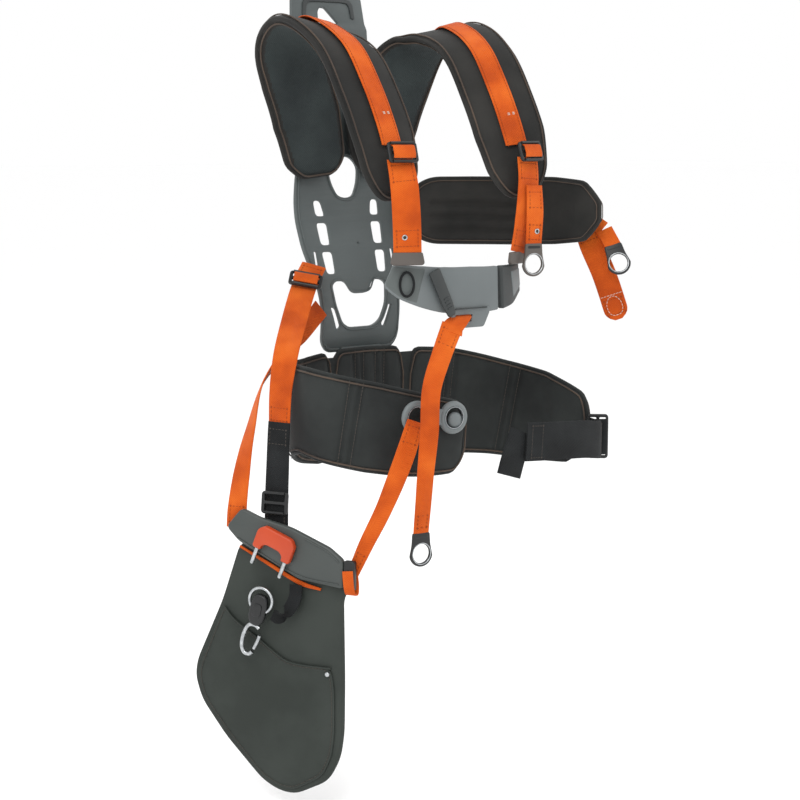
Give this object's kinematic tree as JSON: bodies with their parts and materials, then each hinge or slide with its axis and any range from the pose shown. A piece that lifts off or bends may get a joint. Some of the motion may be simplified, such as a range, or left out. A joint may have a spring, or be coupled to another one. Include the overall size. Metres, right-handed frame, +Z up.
{
  "type": "safety harness vest",
  "caption": "Back-plate harness vest with a height-adjustable shoulder yoke, chest plate, padded hip belt and a hip guard on straps with a release handle and hook.",
  "frame": {"origin": "middle of the flat panel on the wearer's side of the back plate, where the wearer's back rests", "axes": "+Z up, -Y the way the wearer faces, +X the wearer's left"},
  "size_m": [0.5247, 0.3424, 0.9562],
  "materials": {
    "plate_grey": "moulded grey plastic with a fine grain",
    "chest_grey": "moulded grey plastic, slightly lighter",
    "pad_fabric": "padded black woven cover with bound edges",
    "guard_fabric": "stiff coated dark olive-grey fabric",
    "webbing_orange": "flat woven orange webbing",
    "webbing_black": "flat woven black webbing",
    "hardware_black": "moulded black plastic",
    "steel": "zinc-plated steel",
    "red_plastic": "orange-red moulded plastic"
  },
  "bodies": {
    "back": {"back_plate": "plate_grey", "rail_right": "plate_grey", "rail_left": "plate_grey", "lock_bridge": "plate_grey", "belt_back": "pad_fabric", "belt_mount": "plate_grey"},
    "yoke": {"height_slider": "plate_grey", "shoulder_pad_right": "pad_fabric", "shoulder_pad_left": "pad_fabric", "shoulder_strap_right": "webbing_orange", "shoulder_strap_left": "webbing_orange", "front_strap_right": "webbing_orange", "front_strap_left": "webbing_orange", "eye_strap_left": "webbing_orange", "chest_clip": "hardware_black", "strap_keeper_right": "hardware_black", "strap_keeper_left": "hardware_black"},
    "height_button": {"height_lock": "red_plastic"},
    "right_shoulder_lock": {"shoulder_lock_right": "hardware_black"},
    "left_shoulder_lock": {"shoulder_lock_left": "hardware_black"},
    "chest": {"chest_plate": "chest_grey", "pull_loop": "webbing_black"},
    "lever": {"release_lever": "hardware_black"},
    "hanging_strap": {"drop_strap": "webbing_orange"},
    "hanging_ring": {"drop_ring": "steel"},
    "left_ring": {"eye_ring_left": "steel"},
    "side": {"side_pad": "pad_fabric", "side_eye_strap": "webbing_orange"},
    "side_strap_end": {"side_tail": "webbing_orange"},
    "side_loop": {"side_ring": "steel"},
    "right_hip": {"belt_wing_right": "pad_fabric", "belt_buckle": "plate_grey", "side_strap": "webbing_orange", "guard_strap": "webbing_black", "rear_strap": "webbing_orange", "front_guard_strap": "webbing_orange", "guard_bar": "plate_grey", "bar_clip": "hardware_black"},
    "side_adjuster": {"side_lock": "hardware_black"},
    "guard_adjuster": {"guard_lock": "hardware_black"},
    "guard": {"hip_guard": "guard_fabric", "pocket_panel": "guard_fabric", "guard_web": "webbing_orange", "hook_loop": "webbing_black", "hook_swivel": "steel"},
    "handle": {"release_handle": "red_plastic", "release_pin_rear": "steel", "release_pin_front": "steel"},
    "hook": {"hook_body": "steel"},
    "gate": {"hook_gate": "steel"},
    "left_hip": {"belt_wing_left": "pad_fabric"},
    "waist": {"waist_webbing": "webbing_black", "waist_tail": "webbing_black", "waist_lock": "hardware_black"}
  },
  "joints": [
    {"name": "yoke_slide", "type": "slide", "parent": "back", "child": "yoke", "axis": [0, 0.1305, 0.9914], "range_m": [-0.015, 0.04]},
    {"name": "height_button_pull", "type": "slide", "parent": "back", "child": "height_button", "axis": [0, 0.9914, -0.1305], "range_m": [0, 0.004], "stiffness_N_per_m": 400},
    {"name": "right_shoulder_lock_tilt", "type": "hinge", "parent": "yoke", "child": "right_shoulder_lock", "pos_m": [-0.09503, -0.22875, 0.0795], "axis": [0.9929, -0.1191, 0], "range_deg": [0, 40]},
    {"name": "left_shoulder_lock_tilt", "type": "hinge", "parent": "yoke", "child": "left_shoulder_lock", "pos_m": [0.09603, -0.22875, 0.0795], "axis": [0.9929, 0.1191, 0], "range_deg": [0, 40]},
    {"name": "chest_opening", "type": "hinge", "parent": "yoke", "child": "chest", "pos_m": [-0.095, -0.214, -0.048], "axis": [0, 0, -1], "range_deg": [0, 34]},
    {"name": "lever_lift", "type": "hinge", "parent": "chest", "child": "lever", "pos_m": [-0.05391, -0.23458, -0.04378], "axis": [-0.9181, -0.0918, -0.3856], "range_deg": [0, 45]},
    {"name": "hanging_strap_swing", "type": "hinge", "parent": "chest", "child": "hanging_strap", "pos_m": [-0.033, -0.24, -0.105], "axis": [-1, 0, 0], "range_deg": [0, 35]},
    {"name": "hanging_ring_swing", "type": "hinge", "parent": "hanging_strap", "child": "hanging_ring", "pos_m": [-0.099, -0.2656, -0.3313], "axis": [-0.995, 0.0995, 0], "range_deg": [-15, 50]},
    {"name": "left_ring_swing", "type": "hinge", "parent": "yoke", "child": "left_ring", "pos_m": [0.095, -0.234, -0.0151], "axis": [-0.9798, 0.2, 0], "range_deg": [0, 50]},
    {"name": "side_opening", "type": "hinge", "parent": "back", "child": "side", "pos_m": [0.081, -0.016, 0.016], "axis": [0, 0, 1], "range_deg": [-8, 25]},
    {"name": "side_strap_swing", "type": "hinge", "parent": "side", "child": "side_strap_end", "pos_m": [0.243, -0.165, 0.004], "axis": [0.3011, -0.9536, 0], "range_deg": [0, 40]},
    {"name": "side_loop_swing", "type": "hinge", "parent": "side", "child": "side_loop", "pos_m": [0.25436, -0.20321, -0.02374], "axis": [-0.7873, 0.5413, -0.2952], "range_deg": [0, 50]},
    {"name": "right_hip_opening", "type": "hinge", "parent": "back", "child": "right_hip", "pos_m": [-0.066, -0.02, -0.22], "axis": [0, 0, -1], "range_deg": [-5, 20]},
    {"name": "side_adjuster_tilt", "type": "hinge", "parent": "right_hip", "child": "side_adjuster", "pos_m": [-0.1038, -0.04794, -0.06945], "axis": [0.7797, -0.5998, -0.1799], "range_deg": [0, 35]},
    {"name": "guard_adjuster_tilt", "type": "hinge", "parent": "right_hip", "child": "guard_adjuster", "pos_m": [-0.19808, -0.12059, -0.32135], "axis": [0.4691, -0.8832, 0], "range_deg": [0, 35]},
    {"name": "guard_swing", "type": "hinge", "parent": "right_hip", "child": "guard", "pos_m": [-0.18593, -0.15629, -0.393], "axis": [-0.4464, 0.8395, 0.3099], "range_deg": [0, 25]},
    {"name": "handle_pull", "type": "slide", "parent": "right_hip", "child": "handle", "axis": [0.1759, -0.3308, 0.9272], "range_m": [0, 0.012], "stiffness_N_per_m": 300},
    {"name": "hook_turn", "type": "hinge", "parent": "guard", "child": "hook", "pos_m": [-0.22489, -0.11668, -0.44784], "axis": [0.1294, -0.2434, 0.9613], "range_deg": [-90, 90]},
    {"name": "gate_opening", "type": "hinge", "parent": "hook", "child": "gate", "pos_m": [-0.2219, -0.1223, -0.46048], "axis": [0.8829, 0.4695, 0], "range_deg": [0, 20], "stiffness_Nm_per_rad": 0.02},
    {"name": "left_hip_opening", "type": "hinge", "parent": "back", "child": "left_hip", "pos_m": [0.066, -0.02, -0.22], "axis": [0, 0, 1], "range_deg": [-5, 20]},
    {"name": "waist_webbing_fold", "type": "hinge", "parent": "left_hip", "child": "waist", "pos_m": [0.231, -0.2, -0.262], "axis": [0, 0, 1], "range_deg": [0, 70]}
  ]
}
